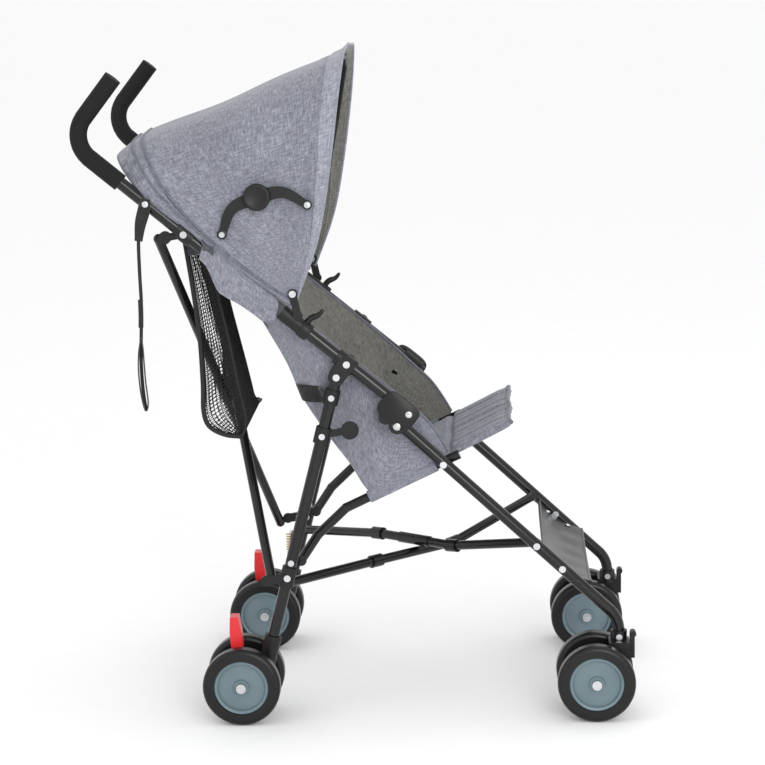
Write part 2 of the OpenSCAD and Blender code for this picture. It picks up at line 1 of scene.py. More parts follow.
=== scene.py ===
"""Umbrella stroller: soft goods, finishes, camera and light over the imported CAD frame.

Points are written in millimetres in the side view's own frame, with x forward from the rear
axle, y to the child's left and z up from the floor, and turned into the frame's metres by row().
"""
import math

import bpy
import numpy as np
from mathutils import Matrix


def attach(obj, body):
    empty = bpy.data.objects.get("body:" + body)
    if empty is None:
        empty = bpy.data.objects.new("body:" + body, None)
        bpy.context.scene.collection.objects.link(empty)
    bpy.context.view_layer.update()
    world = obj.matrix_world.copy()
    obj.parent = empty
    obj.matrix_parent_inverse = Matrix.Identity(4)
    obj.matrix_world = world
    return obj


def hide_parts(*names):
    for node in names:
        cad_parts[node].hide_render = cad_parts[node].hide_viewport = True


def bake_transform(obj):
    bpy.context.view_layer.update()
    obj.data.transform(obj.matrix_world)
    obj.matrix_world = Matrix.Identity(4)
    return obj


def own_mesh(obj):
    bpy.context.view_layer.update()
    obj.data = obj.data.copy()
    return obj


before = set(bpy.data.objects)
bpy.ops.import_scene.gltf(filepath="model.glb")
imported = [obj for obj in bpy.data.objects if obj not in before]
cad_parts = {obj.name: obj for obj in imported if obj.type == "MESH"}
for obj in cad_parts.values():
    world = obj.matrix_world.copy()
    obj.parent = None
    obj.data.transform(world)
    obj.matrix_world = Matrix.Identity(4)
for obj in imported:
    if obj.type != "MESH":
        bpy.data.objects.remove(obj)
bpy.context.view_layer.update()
# Where the frame's origin lies ahead of the rear axle
X_MID = 172.376
# The push tubes: distance from the middle, height above the floor over the rear axle, and slope
Y_PUSH = 195.0
Z_PUSH = 655.2
SLOPE = math.radians(39.6)


# Geometry

def row(points):
    """Side view millimetres to the frame's metres: x less the frame's middle, all over 1000."""
    return (np.asarray(points, float) - [X_MID, 0.0, 0.0]) / 1000.0


def on_push(x):
    """Side view point of the push tube's axis at x, on a straight line of that slope."""
    return (x, Z_PUSH - x * math.tan(SLOPE))


def round_push(x, radius, angles, turn=0.0):
    """Points round the left push tube at x, at angles from its top, moved forward as they swing outward."""
    cx, cz = on_push(x)
    forward = 0.63
    return np.stack([cx + radius * np.sin(angles) * forward,
                     Y_PUSH + radius * np.sin(angles - turn),
                     cz + radius * np.cos(angles)], 1)


def unit(v):
    """Vectors divided by their lengths."""
    v = np.asarray(v, float)
    return v / np.maximum(np.linalg.norm(v, axis=-1, keepdims=True), 1e-9)


def smooth_path(points, n):
    """n points on the Catmull-Rom curve through the given points, evenly spaced in its parameter."""
    p = np.asarray(points, float)
    p = np.vstack([2 * p[0] - p[1], p, 2 * p[-1] - p[-2]])
    t = np.linspace(0, len(p) - 3, n)
    i = np.minimum(t.astype(int), len(p) - 4)
    f = (t - i)[:, None]
    a, b, c, d = p[i], p[i + 1], p[i + 2], p[i + 3]
    square = 2 * a - 5 * b + 4 * c - d
    cube = 3 * b - a - 3 * c + d
    return 0.5 * (2 * b + (c - a) * f + square * f ** 2 + cube * f ** 3)


def run(p):
    """The length along a path at each of its points: the running sum of its steps."""
    return np.concatenate([[0], np.cumsum(np.linalg.norm(np.diff(p, axis=0), axis=1))])


def ease(x):
    """A smooth step: three times x squared less twice x cubed, with x held between 0 and 1."""
    x = np.clip(x, 0, 1)
    return x * x * (3 - 2 * x)


def between(first, last):
    """A small ruled patch: straight lines from the curve through first to the curve through last."""
    a, b = smooth_path(first, 12), smooth_path(last, 12)
    return a[None] + (b - a)[None] * np.linspace(0, 1, 8)[:, None, None]


def even_path(points, n):
    """n points evenly spaced by length along the Catmull-Rom curve through the given points."""
    p = smooth_path(points, 400)
    s = run(p)
    return np.stack([np.interp(np.linspace(0, s[-1], n), s, p[:, k]) for k in range(p.shape[1])], 1)


def quads(nu, nv, loop_u=False, loop_v=False):
    """Faces of a grid of nu by nv points, joined round where a direction loops."""
    u = np.arange(nu if loop_u else nu - 1)[:, None]
    v = np.arange(nv if loop_v else nv - 1)[None, :]
    a, b = u * nv + v, (u + 1) % nu * nv + v
    c, d = (u + 1) % nu * nv + (v + 1) % nv, u * nv + (v + 1) % nv
    return np.stack([a, b, c, d], -1).reshape(-1, 4)


def normals(p):
    """Unit normals of a grid of points: its u step crossed with its v step."""
    return unit(np.cross(np.gradient(p, axis=0), np.gradient(p, axis=1)))


def lengths(p):
    """Cloth coordinates of a grid in metres: the length along its middle row and middle column."""
    u = run(p[:, p.shape[1] // 2])
    v = run(p[p.shape[0] // 2])
    return np.stack(np.meshgrid(u, v, indexing="ij"), -1).reshape(-1, 2) / 1000.0


def shell(p, thick, outer=0, inner=0, flip=False):
    """A closed cloth from a grid: its points moved half the thickness each way along the normals.

    A strip of faces closes the edge.
    """
    nu, nv = p.shape[:2]
    n = normals(p) * (-1 if flip else 1)
    t = np.broadcast_to(np.asarray(thick, float), (nu, nv))[..., None] / 2
    top, low = (p + n * t).reshape(-1, 3), (p - n * t).reshape(-1, 3)
    q = quads(nu, nv)
    k = nu * nv
    ring = np.concatenate([np.arange(nv), np.arange(1, nu) * nv + nv - 1,
                           (nu - 1) * nv + np.arange(nv - 2, -1, -1), np.arange(nu - 2, 0, -1) * nv])
    nxt = np.roll(ring, -1)
    side = np.stack([ring, nxt, nxt + k, ring + k], 1)
    if flip:
        faces = np.vstack([q[:, ::-1], q + k, side])
    else:
        faces = np.vstack([q, q[:, ::-1] + k, side[:, ::-1]])
    marks = np.concatenate([np.full(len(q), outer), np.full(len(q), inner), np.full(len(side), outer)])
    uv = lengths(p)
    return np.vstack([top, low]), faces, marks, np.vstack([uv, uv])


def frames_along(path, closed=False):
    """Tangents and two side directions that turn as little as possible along a path."""
    p = np.asarray(path, float)
    t = unit(np.roll(p, -1, 0) - np.roll(p, 1, 0)) if closed else unit(np.gradient(p, axis=0))
    side = np.cross(t[0], [0.0, 0.0, 1.0])
    if np.linalg.norm(side) < 0.1:
        side = np.cross(t[0], [0.0, 1.0, 0.0])
    out = [unit(side)]
    # Each side direction follows from the one before it, so this steps along the path
    for k in range(1, len(p)):
        s = out[-1] - t[k] * np.dot(out[-1], t[k])
        out.append(unit(s))
    a = np.array(out)
    return t, a, np.cross(t, a)


def tube(path, radius, sides=12, closed=False, mark=0):
    """A round tube: circles of the given radius swept along the path, with flat ends."""
    p = np.asarray(path, float)
    _, a, b = frames_along(p, closed)
    r = np.broadcast_to(np.asarray(radius, float), (len(p),))[:, None, None]
    w = np.linspace(0, 2 * math.pi, sides, endpoint=False)
    v = p[:, None] + r * (np.cos(w)[None, :, None] * a[:, None] + np.sin(w)[None, :, None] * b[:, None])
    faces = [list(f) for f in quads(len(p), sides, closed, True)]
    if not closed:
        faces += [list(range(sides)), list(range((len(p) - 1) * sides, len(p) * sides))[::-1]]
    s = run(p) / 1000
    uv = np.stack(np.broadcast_arrays(s[:, None], (w * np.mean(radius) / 1000)[None, :]), -1).reshape(-1, 2)
    return orient(v.reshape(-1, 3), faces, np.full(len(faces), mark), uv)


def orient(v, faces, marks, uv):
    """Turns a closed form's faces outward, by its volume's sign: the sum of its corners' triple products."""
    fans = np.array([(f[0], f[i], f[i + 1]) for f in faces for i in range(1, len(f) - 1)])
    a, b, c = v[fans].transpose(1, 0, 2)
    if np.sum(a * np.cross(b, c)) < 0:
        faces = [list(f)[::-1] for f in faces]
    return v, faces, marks, uv


def ribbon(path, wide, width, thick, mark=0):
    """A flat strap: a rounded rectangle of width by thick swept along the path, wide side along wide."""
    p = np.asarray(path, float)
    t = unit(np.gradient(p, axis=0))
    w = np.broadcast_to(np.asarray(wide, float), p.shape)
    w = unit(w - t * np.sum(w * t, 1, keepdims=True))
    n = np.cross(t, w)
    hw = np.broadcast_to(np.asarray(width, float), (len(p),))[:, None, None] / 2
    ht = np.broadcast_to(np.asarray(thick, float), (len(p),))[:, None, None] / 2
    prof = np.array([(-1, 0.5), (-0.96, 1), (-0.5, 1), (0, 1), (0.5, 1), (0.96, 1), (1, 0.5),
                     (1, -0.5), (0.96, -1), (0.5, -1), (0, -1), (-0.5, -1), (-0.96, -1), (-1, -0.5)])
    v = p[:, None] + hw * prof[None, :, :1] * w[:, None] + ht * prof[None, :, 1:] * n[:, None]
    k = len(prof)
    faces = [list(f) for f in quads(len(p), k, False, True)]
    faces += [list(range(k)), list(range((len(p) - 1) * k, len(p) * k))[::-1]]
    s = run(p) / 1000
    uv = np.stack([np.broadcast_to(s[:, None], (len(p), k)),
                   np.broadcast_to(prof[None, :, 0], (len(p), k)) * hw[:, :, 0] / 1000], -1).reshape(-1, 2)
    return orient(v.reshape(-1, 3), faces, np.full(len(faces), mark), uv)


def turned(profile, centre, axis, sides=40, mark=0):
    """A turned form: the profile's (along, radius) points swept round an axis, with flat ends."""
    c, ax = np.asarray(centre, float), unit(axis)
    a = unit(np.cross(ax, [0.31, 0.17, 0.93]))
    b = np.cross(ax, a)
    w = np.linspace(0, 2 * math.pi, sides, endpoint=False)
    pr = np.asarray(profile, float)
    spokes = np.cos(w)[None, :, None] * a + np.sin(w)[None, :, None] * b
    v = c + pr[:, None, :1] * ax + pr[:, None, 1:] * spokes
    k = len(pr)
    faces = [list(f) for f in quads(k, sides, False, True)]
    faces += [list(range(sides)), list(range((k - 1) * sides, k * sides))[::-1]]
    uv = np.zeros((k * sides, 2))
    return orient(v.reshape(-1, 3), faces, np.full(len(faces), mark), uv)


def dome(centre, axis, r, h, mark=0):
    """A low round rivet head on centre that rises h along axis."""
    q = np.linspace(0, 0.5 * math.pi, 7)
    prof = [(-0.4, r)] + [(h * math.sin(w), max(r * math.cos(w) ** 0.6, 0.05)) for w in q]
    return turned(prof, centre, axis, 24, mark)


def net(p, r, mark=0):
    """An open net: a thin three sided strand along every row and every column of a grid of points."""
    parts = []
    n = normals(p)
    for grid, nrm in ((p, n), (p.transpose(1, 0, 2), n.transpose(1, 0, 2))):
        t = unit(np.gradient(grid, axis=1))
        b = np.cross(t, nrm)
        w = np.array([0.0, 2.1, 4.2])
        spokes = np.cos(w)[:, None] * nrm[:, :, None] + np.sin(w)[:, None] * b[:, :, None]
        v = grid[:, :, None] + r * spokes
        m, k = grid.shape[:2]
        base = (np.arange(m) * k * 3)[:, None, None]
        i = (np.arange(k - 1) * 3)[None, :, None]
        j = np.arange(3)[None, None, :]
        here = base + i
        after = (j + 1) % 3
        f = np.stack([here + j, here + after, here + 3 + after, here + 3 + j], -1)
        f = f.reshape(-1, 4)[:, ::-1]
        parts.append((v.reshape(-1, 3), f, np.full(len(f), mark), np.zeros((m * k * 3, 2))))
    return parts


def make(name, parts, mats, sharp=50):
    """One mesh piece from several parts of (points, faces, material numbers, cloth coordinates)."""
    verts, faces, marks, uvs, start = [], [], [], [], 0
    for v, f, m, uv in parts:
        verts.append(row(v))
        faces += [[int(i) + start for i in face] for face in f]
        marks.append(np.asarray(m))
        uvs.append(uv)
        start += len(v)
    mesh = bpy.data.meshes.new(name)
    mesh.from_pydata(np.vstack(verts).tolist(), [], faces)
    mesh.polygons.foreach_set("material_index", np.concatenate(marks).astype(np.int32))
    mesh.polygons.foreach_set("use_smooth", np.ones(len(faces), bool))
    loops = np.zeros(len(mesh.loops), np.int32)
    mesh.loops.foreach_get("vertex_index", loops)
    layer = mesh.uv_layers.new(name="cloth")
    layer.data.foreach_set("uv", np.vstack(uvs)[loops].astype(np.float32).ravel())
    for mat in mats:
        mesh.materials.append(mat)
    mesh.set_sharp_from_angle(angle=math.radians(sharp))
    mesh.validate()
    obj = bpy.data.objects.new(name, mesh)
    bpy.context.scene.collection.objects.link(obj)
    return obj


def mirror(parts):
    """The same parts for the left side: y turned over, and each face's order with it."""
    out = []
    for v, f, m, uv in parts:
        v = np.array(v)
        v[:, 1] *= -1
        out.append((v, [list(face)[::-1] for face in f], m, uv))
    return out


# Materials

def srgb(code):
    """A hex sRGB colour as linear red, green, blue and alpha."""
    c = np.array([int(code[i:i + 2], 16) for i in (1, 3, 5)]) / 255.0
    lin = np.where(c <= 0.04045, c / 12.92, ((c + 0.055) / 1.055) ** 2.4)
    return (*[float(x) for x in lin], 1.0)


def add(tree, kind, inputs=None, **settings):
    """A node of that kind with its settings, and its inputs set or linked."""
    n = tree.nodes.new(kind)
    for key, value in settings.items():
        setattr(n, key, value)
    for key, value in (inputs or {}).items():
        if isinstance(value, bpy.types.NodeSocket):
            tree.links.new(value, n.inputs[key])
        else:
            n.inputs[key].default_value = value
    return n


def start(name, sockets):
    """A new material with its shader's fixed sockets set."""
    mat = bpy.data.materials.new(name)
    mat.use_nodes = True
    tree = mat.node_tree
    tree.nodes.clear()
    shader = add(tree, "ShaderNodeBsdfPrincipled", sockets)
    add(tree, "ShaderNodeOutputMaterial", {"Surface": shader.outputs[0]})
    return mat, tree, shader


def ramp(tree, value, stops):
    """A colour ramp over value, with stops of (place, hex colour)."""
    n = add(tree, "ShaderNodeValToRGB", {"Fac": value})
    els = n.color_ramp.elements
    while len(els) < len(stops):
        els.new(0.5)
    for el, (place, code) in zip(els, stops):
        el.position = place
        el.color = srgb(code)
    return n.outputs["Color"]


def hard(name, low, high, grain_mm, rough, bump_mm, sockets=None):
    """A moulded, coated or plated finish: a grain of that size moves colour, roughness and height."""
    mat, tree, shader = start(name, sockets or {})
    co = add(tree, "ShaderNodeTexCoord").outputs["Object"]
    fine = add(tree, "ShaderNodeTexNoise",
               {"Vector": co, "Scale": 1000.0 / grain_mm, "Detail": 4.0}).outputs["Fac"]
    wide = add(tree, "ShaderNodeTexNoise", {"Vector": co, "Scale": 22.0, "Detail": 3.0}).outputs["Fac"]
    both = add(tree, "ShaderNodeMath", {0: fine, 1: wide}, operation="ADD").outputs[0]
    half = add(tree, "ShaderNodeMath", {0: both, 1: 0.5}, operation="MULTIPLY").outputs[0]
    tree.links.new(ramp(tree, half, [(0.3, low), (0.7, high)]), shader.inputs["Base Color"])
    rng = add(tree, "ShaderNodeMapRange", {"Value": half, "From Min": 0.3, "From Max": 0.7,
                                           "To Min": rough[0], "To Max": rough[1]})
    tree.links.new(rng.outputs[0], shader.inputs["Roughness"])
    bump = add(tree, "ShaderNodeBump", {"Height": fine, "Strength": 0.5, "Distance": bump_mm / 1000.0})
    tree.links.new(bump.outputs[0], shader.inputs["Normal"])
    return mat


def woven(name, dark, mid, light, yarn_mm, bump_mm, sockets=None):
    """A melange weave: uneven yarns both ways, of three shades, with the weave's own ribs as height.

    Every weave here has its yarns drawn coarser than real ones, so that they show in the render.
    """
    cloth = {"Roughness": 0.88, "Sheen Weight": 0.25, "Sheen Roughness": 0.5}
    mat, tree, shader = start(name, {**cloth, **(sockets or {})})
    co = add(tree, "ShaderNodeUVMap", uv_map="cloth").outputs[0]
    yarns = []
    for stretch in ((1.0, 0.16, 1.0), (0.16, 1.0, 1.0)):
        m = add(tree, "ShaderNodeMapping", {"Vector": co, "Scale": stretch}).outputs[0]
        yarns.append(add(tree, "ShaderNodeTexNoise", {"Vector": m, "Scale": 700.0 / yarn_mm, "Detail": 3.0,
                                                      "Roughness": 0.65}).outputs["Fac"])
    pair = add(tree, "ShaderNodeMath", {0: yarns[0], 1: yarns[1]}, operation="ADD").outputs[0]
    cloud = add(tree, "ShaderNodeTexNoise", {"Vector": co, "Scale": 14.0, "Detail": 3.0}).outputs["Fac"]
    mix = add(tree, "ShaderNodeMath", {0: cloud, 1: 0.25, 2: pair}, operation="MULTIPLY_ADD").outputs[0]
    fac = add(tree, "ShaderNodeMath", {0: mix, 1: 0.444}, operation="MULTIPLY").outputs[0]
    tree.links.new(ramp(tree, fac, [(0.36, dark), (0.5, mid), (0.64, light)]), shader.inputs["Base Color"])
    ribs = []
    for way in ("X", "Y"):
        wave = {"Vector": co, "Scale": 314.16 / yarn_mm, "Distortion": 0.6, "Detail": 1.0}
        ribs.append(add(tree, "ShaderNodeTexWave", wave, bands_direction=way).outputs["Fac"])
    tall = add(tree, "ShaderNodeMath", {0: ribs[0], 1: ribs[1]}, operation="MAXIMUM").outputs[0]
    rough = add(tree, "ShaderNodeMath", {0: tall, 1: pair}, operation="ADD").outputs[0]
    bump = add(tree, "ShaderNodeBump", {"Height": rough, "Strength": 0.45, "Distance": bump_mm / 1000.0})
    tree.links.new(bump.outputs[0], shader.inputs["Normal"])
    return mat


# Light and dark yarns mixed at random: a dry, heathered cloth
MELANGE = woven("blue grey melange polyester", "#53555f", "#777984", "#9b9da8", 1.5, 0.35)
# The same yarns a shade lighter, so that the rim's binding stands out
BAND = woven("blue grey melange binding", "#62646f", "#888a96", "#a9abb5", 1.5, 0.3)
# Warmer than the outside, as a real lining, and a little darker with painted shade for the shade that falls
# on the insides
SHADED_LINING = woven("olive grey lining with painted shade", "#52514d", "#72716b", "#8d8c86", 1.5, 0.3)
# Close black ribs that catch little light
WEBBING = woven("black polypropylene webbing", "#0b0b0c", "#161617", "#2a2a2c", 2.2, 0.5)
# Finer and darker yarns that draw the seams as thin lines
PIPING = woven("grey melange piping", "#444754", "#62656f", "#82858f", 1.2, 0.3)
# Charcoal cloth that sets small tabs off from the grey and the black round them
TAB = woven("charcoal polyester tab", "#2e3034", "#414349", "#5a5c62", 1.4, 0.3)
# Dull black strands
YARN = hard("black polyester net", "#08080a", "#161617", 0.8, (0.6, 0.8), 0.1)
# A smooth film over cloth: broad soft highlights
VINYL = hard("black coated cloth", "#0d0e0f", "#191b1d", 1.4, (0.26, 0.4), 0.12,
             {"Specular IOR Level": 0.3, "Coat Weight": 0.08, "Coat Roughness": 0.3})
# Baked gloss powder: sharp streaks of light along the tubes
COAT = hard("black powder coated steel", "#060607", "#101012", 1.2, (0.16, 0.28), 0.03,
            {"Specular IOR Level": 0.3, "Coat Weight": 0.25, "Coat Roughness": 0.1})
# A satin mould finish: wide, dim highlights
PLASTIC = hard("black moulded plastic", "#0a0a0b", "#151516", 0.7, (0.36, 0.5), 0.05,
               {"Specular IOR Level": 0.35})
# Open cells: nearly no highlight
FOAM = hard("black foam rubber", "#0a0a0b", "#1a1a1c", 0.9, (0.72, 0.9), 0.35, {"Specular IOR Level": 0.3})
# Smooth moulded rubber with a soft shine
TYRE = hard("black tyre rubber", "#070708", "#121214", 1.1, (0.26, 0.42), 0.05,
            {"Specular IOR Level": 0.35})
# Blue grey plastic, much lighter than the tyre round it
HUB = hard("grey moulded hub plastic", "#56686f", "#6b7d84", 1.0, (0.3, 0.42), 0.05)
# The one strong colour, with a soft shine
RED = hard("red moulded plastic", "#c81f26", "#de2b2f", 0.9, (0.28, 0.4), 0.05)
# Bright plating with crisp reflections
STEEL = hard("zinc plated steel", "#b9babd", "#dcdde0", 0.9, (0.2, 0.32), 0.04, {"Metallic": 1.0})
# Warm plating, so that the small spring shows
BRASS = hard("brass plated steel", "#b08b3f", "#d8b566", 0.8, (0.24, 0.36), 0.03, {"Metallic": 1.0})
# Stamped and darkened metal, with dim reflections
DARK_STEEL = hard("dark stamped steel", "#2b2c2f", "#4a4b4f", 0.9, (0.3, 0.42), 0.05, {"Metallic": 0.8})

# Each finish with the CAD nodes that have it, by how their names begin
FINISHES = [
    (COAT, "push_tube rear_leg front_leg seat_rail rear_cross bottom_cross"),
    (PLASTIC, "frame_brackets rear_brackets wheel_housing caster_head caster_fork swivel_lock"),
    (PLASTIC, "canopy_bow stay_rear stay_front"),
    (STEEL, "frame_pins rear_pins front_pins front_axle"),
    (FOAM, "handle_grip"),
    (TYRE, "rear_tyres front_tyres"),
    (HUB, "rear_hubs front_hubs"),
    (RED, "brake_lever"),
    (VINYL, "footrest"),
    (MELANGE, "seat_back seat_base canopy"),
    (YARN, "storage_bag"),
    (WEBBING, "back_strap wrist_strap"),
    (DARK_STEEL, "fold_lock"),
]
FINISH = {node: finish for finish, nodes in FINISHES for node in nodes.split()}
for name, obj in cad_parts.items():
    finish = FINISH[max((k for k in FINISH if name.startswith(k)), key=len)]
    if not obj.material_slots:
        obj.data.materials.append(finish)
    for slot in obj.material_slots:
        slot.material = finish


# Camera

def look():
    """The photograph's camera: its fitted place, yaw, pitch and roll, and its focal length in pixels."""
    photo_width, focal_length = 765.0, 2464.3
    place = (362.3, -3666.3, 1107.4)
    yaw, pitch, roll = (math.radians(angle) for angle in (2.52, -9.99, 0.92))
    data = bpy.data.cameras.new("camera")
    data.sensor_width = 36.0
    data.lens = focal_length / photo_width * 36.0
    data.clip_end = 300.0
    cam = bpy.data.objects.new("camera", data)
    bpy.context.scene.collection.objects.link(cam)
    turn = Matrix.Rotation(yaw, 3, "Z") @ Matrix.Rotation(pitch, 3, "X") @ Matrix.Rotation(roll, 3, "Y")
    right, ahead, up = turn.col[0], turn.col[1], turn.col[2]
    m = Matrix((right, up, -ahead)).transposed().to_4x4()
    m.translation = row(place).tolist()
    cam.matrix_world = m
    bpy.context.scene.camera = cam


look()


# Wrist strap

def wrist_strap():
    """Flat safety strap: a strip carried along a path down from a stud on the right push tube, with a tab."""
    pts = [(-123, -206.6, 751), (-129, -207, 730), (-133, -207, 706), (-133, -207, 660), (-132, -207, 617),
           (-133.5, -207, 572), (-135, -207, 530), (-133.5, -207, 490), (-130, -207, 460)]
    path = even_path(pts, 40)
    ahead = [1.0, 0.0, 0.0]
    strap = make("wrist_strap_webbing", [ribbon(path, ahead, 5.0, 1.8)], [WEBBING])
    tab_path = even_path([(-121, -207.4, 764), (-124, -207.6, 748),
                          (-129.5, -207.8, 728), (-133, -207.8, 704)], 14)
    tab_width = [13, 15, 17, 18, 18, 18, 17.5, 17, 16, 15, 14, 13, 12, 11.4]
    keeper = even_path([(-133.2, -207, 620), (-133, -207, 600), (-133.6, -207, 580)], 8)
    loop = even_path([(-134, -208.2, 566), (-137.6, -208.6, 545), (-139, -208.6, 520),
                      (-136.5, -208.6, 485), (-130.5, -208.4, 459), (-126.5, -208.4, 470),
                      (-129, -208.6, 500), (-130.6, -208.6, 530), (-131.4, -208.6, 548),
                      (-133.4, -208.2, 566)], 60)
    stud_x, stud_z = on_push(-122)
    tab = make("wrist_strap_tab", [
        ribbon(tab_path, ahead, tab_width, 2.6),
        ribbon(keeper, ahead, 7.0, 3.0),
        ribbon(loop, [0.0, 1.0, 0.0], 7.0, 1.3),
        dome((stud_x, -208.4, stud_z), (0, -1, 0), 5.0, 2.2, 1)], [WEBBING, STEEL])
    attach(strap, "frame_right")
    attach(tab, "frame_right")
    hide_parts("wrist_strap")


wrist_strap()


# Canopy

# Side view curves of the front rim, the rear seam and the hem, from the pivot up to the top
FRONT = [(88, 614), (118, 694), (134, 770), (148, 868), (160, 965)]
SEAM = [(82, 618), (18, 662), (-51, 721), (-100, 778), (-140, 846)]
HEM = [(80, 609), (10, 660), (-60, 716), (-118, 762), (-174, 821)]
# Soft folds: two ends in the canopy's (t, r) chart, depth in millimetres and width in the chart
CREASES = [((0.09, 0.99), (0.2, 0.3), 4.0, 0.022), ((0.12, 0.98), (0.62, 0.42), 5.0, 0.05),
           ((0.3, 0.95), (0.75, 0.55), 4.0, 0.035), ((0.2, 0.2), (0.45, 0.75), 3.0, 0.045),
           ((0.9, 0.15), (0.86, 0.85), 2.6, 0.016), ((0.8, 0.2), (0.72, 0.8), 2.4, 0.02)]


def guide(points, rho):
    """Side view points at fractions rho of the curve through points."""
    p = smooth_path(points, 201)
    return np.stack([np.interp(rho, np.linspace(0, 1, 201), p[:, k]) for k in (0, 1)], -1)


def crease(t, r, a, b, depth, width):
    """A soft fold from a to b in the canopy's (t, r) chart: a bell curve across it, fading at its ends."""
    a, b = np.array(a), np.array(b)
    d = b - a
    q = np.stack([t, r], -1) - a
    s = q @ d / (d @ d)
    off = (q[..., 0] * d[1] - q[..., 1] * d[0]) / np.linalg.norm(d)
    fade = np.clip(np.sin(math.pi * np.clip(s, 0, 1)), 0, 1) ** 0.5
    return depth * np.exp(-(off / width) ** 2) * fade


def canopy_grid(lap):
    """Half of the canopy: a fan from front rim to rear hem over a squared-off arch, sagging between its bows.

    Along t the side view point goes straight from the rim's curve to the seam's curve, then on to the hem.
    Across, y and the height fraction follow a straight side, a quarter circle of radius 100 and a
    barely crowned top.
    """
    band, cloth, hem = np.linspace(0, 0.1, 14)[:-1], np.linspace(0.1, 1.0, 64), np.linspace(1.0, 1.3, 14)[1:]
    t = np.concatenate([band, cloth, hem])
    half, corner, height = 202.0, 100.0, 340
    flat = half - corner
    side_share, corner_share, crown_share = 0.714, 0.276, 0.01
    up = np.linspace(0, side_share, 500)[:-1]
    w = np.linspace(0, math.pi / 2, 500)
    top = np.linspace(-flat, 0, 300)[1:]
    y = np.concatenate([np.full(len(up), -half), -flat - corner * np.cos(w), top])
    r = np.concatenate([up, side_share + corner_share * np.sin(w), 1 - crown_share * (top / flat) ** 2])
    s = np.concatenate([[0], np.cumsum(np.hypot(np.diff(y), height * np.diff(r)))])
    even = np.linspace(0, s[-1], 92)
    y, r = np.interp(even, s, y), np.interp(even, s, r)
    tt, rr = np.meshgrid(t, r, indexing="ij")
    yy = np.broadcast_to(y, tt.shape).copy()
    f, m, h = guide(FRONT, rr), guide(SEAM, rr), guide(HEM, rr)
    a = np.clip(tt, 0, 1)[..., None]
    b = np.clip((tt - 1) / 0.3, 0, 1)[..., None]
    xz = f * (1 - a) + m * a + (h - m) * b
    sag = np.sin(math.pi * np.clip(tt, 0, 1))
    xz[..., 1] -= 3 * sag * rr ** 2
    xz[..., 1] += 4 * np.exp(-(tt / 0.02) ** 2) * rr ** 6
    yy = yy * (1 - 0.012 * sag * np.sin(math.pi * rr))
    p = np.stack([xz[..., 0], yy, xz[..., 1]], -1)
    n = -normals(p)
    # The rim's band stands proud with a stitched groove behind it
    d = 1.3 * (tt < 0.085) - 1.6 * np.exp(-((tt - 0.088) / 0.006) ** 2)
    for fold in CREASES:
        d -= crease(tt, rr, *fold)
    d += 2.0 * np.sin(9 * tt + 5 * rr) * sag * rr
    # The rear seam is drawn in, and the skirt behind it swells a little
    d -= 1.8 * np.exp(-((tt - 1.0) / 0.012) ** 2)
    d[tt > 1] += (1.5 * np.sin(math.pi * b[..., 0]))[tt > 1]
    if lap:
        d -= 3.2 * np.clip((yy + 150) / 120, 0, 1)
    return p + n * d[..., None], tt, rr


def canopy():
    """Both halves with their front bands, seam piping and hems; the left half laps under the right one."""
    for side in ("right", "left"):
        p, tt, _ = canopy_grid(side == "left")
        if side == "right":
            p[:, -1, 1] = 0.4
        # The inner faces take the lining, whose darker tone is painted shade for the canopy's shaded inside
        v, f, marks, uv = shell(p, 2.4, 0, 1, flip=True)
        centre = tt.reshape(-1)
        quad = np.asarray(f)
        first = centre[np.minimum(quad.min(1), len(centre) - 1) % len(centre)]
        marks = np.where((marks == 0) & (first < 0.08), 2, marks)
        parts = [(v, f, marks, uv)]
        k_seam = int(np.argmin(np.abs(tt[:, 0] - 1.0)))
        k_mid = int(np.argmin(np.abs(tt[:, 0] - 1.09)))
        out = -normals(p)
        for k in (k_seam - 1, k_mid):
            parts.append(tube(p[k, :-1] + out[k, :-1] * 1.6, 1.9, 8, False, 3))
        parts.append(tube(p[-1, :-1], 2.0, 8, False, 3))
        parts.append(tube(p[0, :-1], 2.0, 8, False, 2))
        parts.append(dome((84, -203.6, 627), (0, -1, 0), 6.2, 2.6, 4))
        mats = [MELANGE, SHADED_LINING, BAND, PIPING, STEEL]
        if side == "left":
            parts = mirror(parts)
        obj = make("canopy_fabric_" + side, parts, mats, 60)
        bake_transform(obj)
        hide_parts("canopy_" + side)


canopy()


# Stays

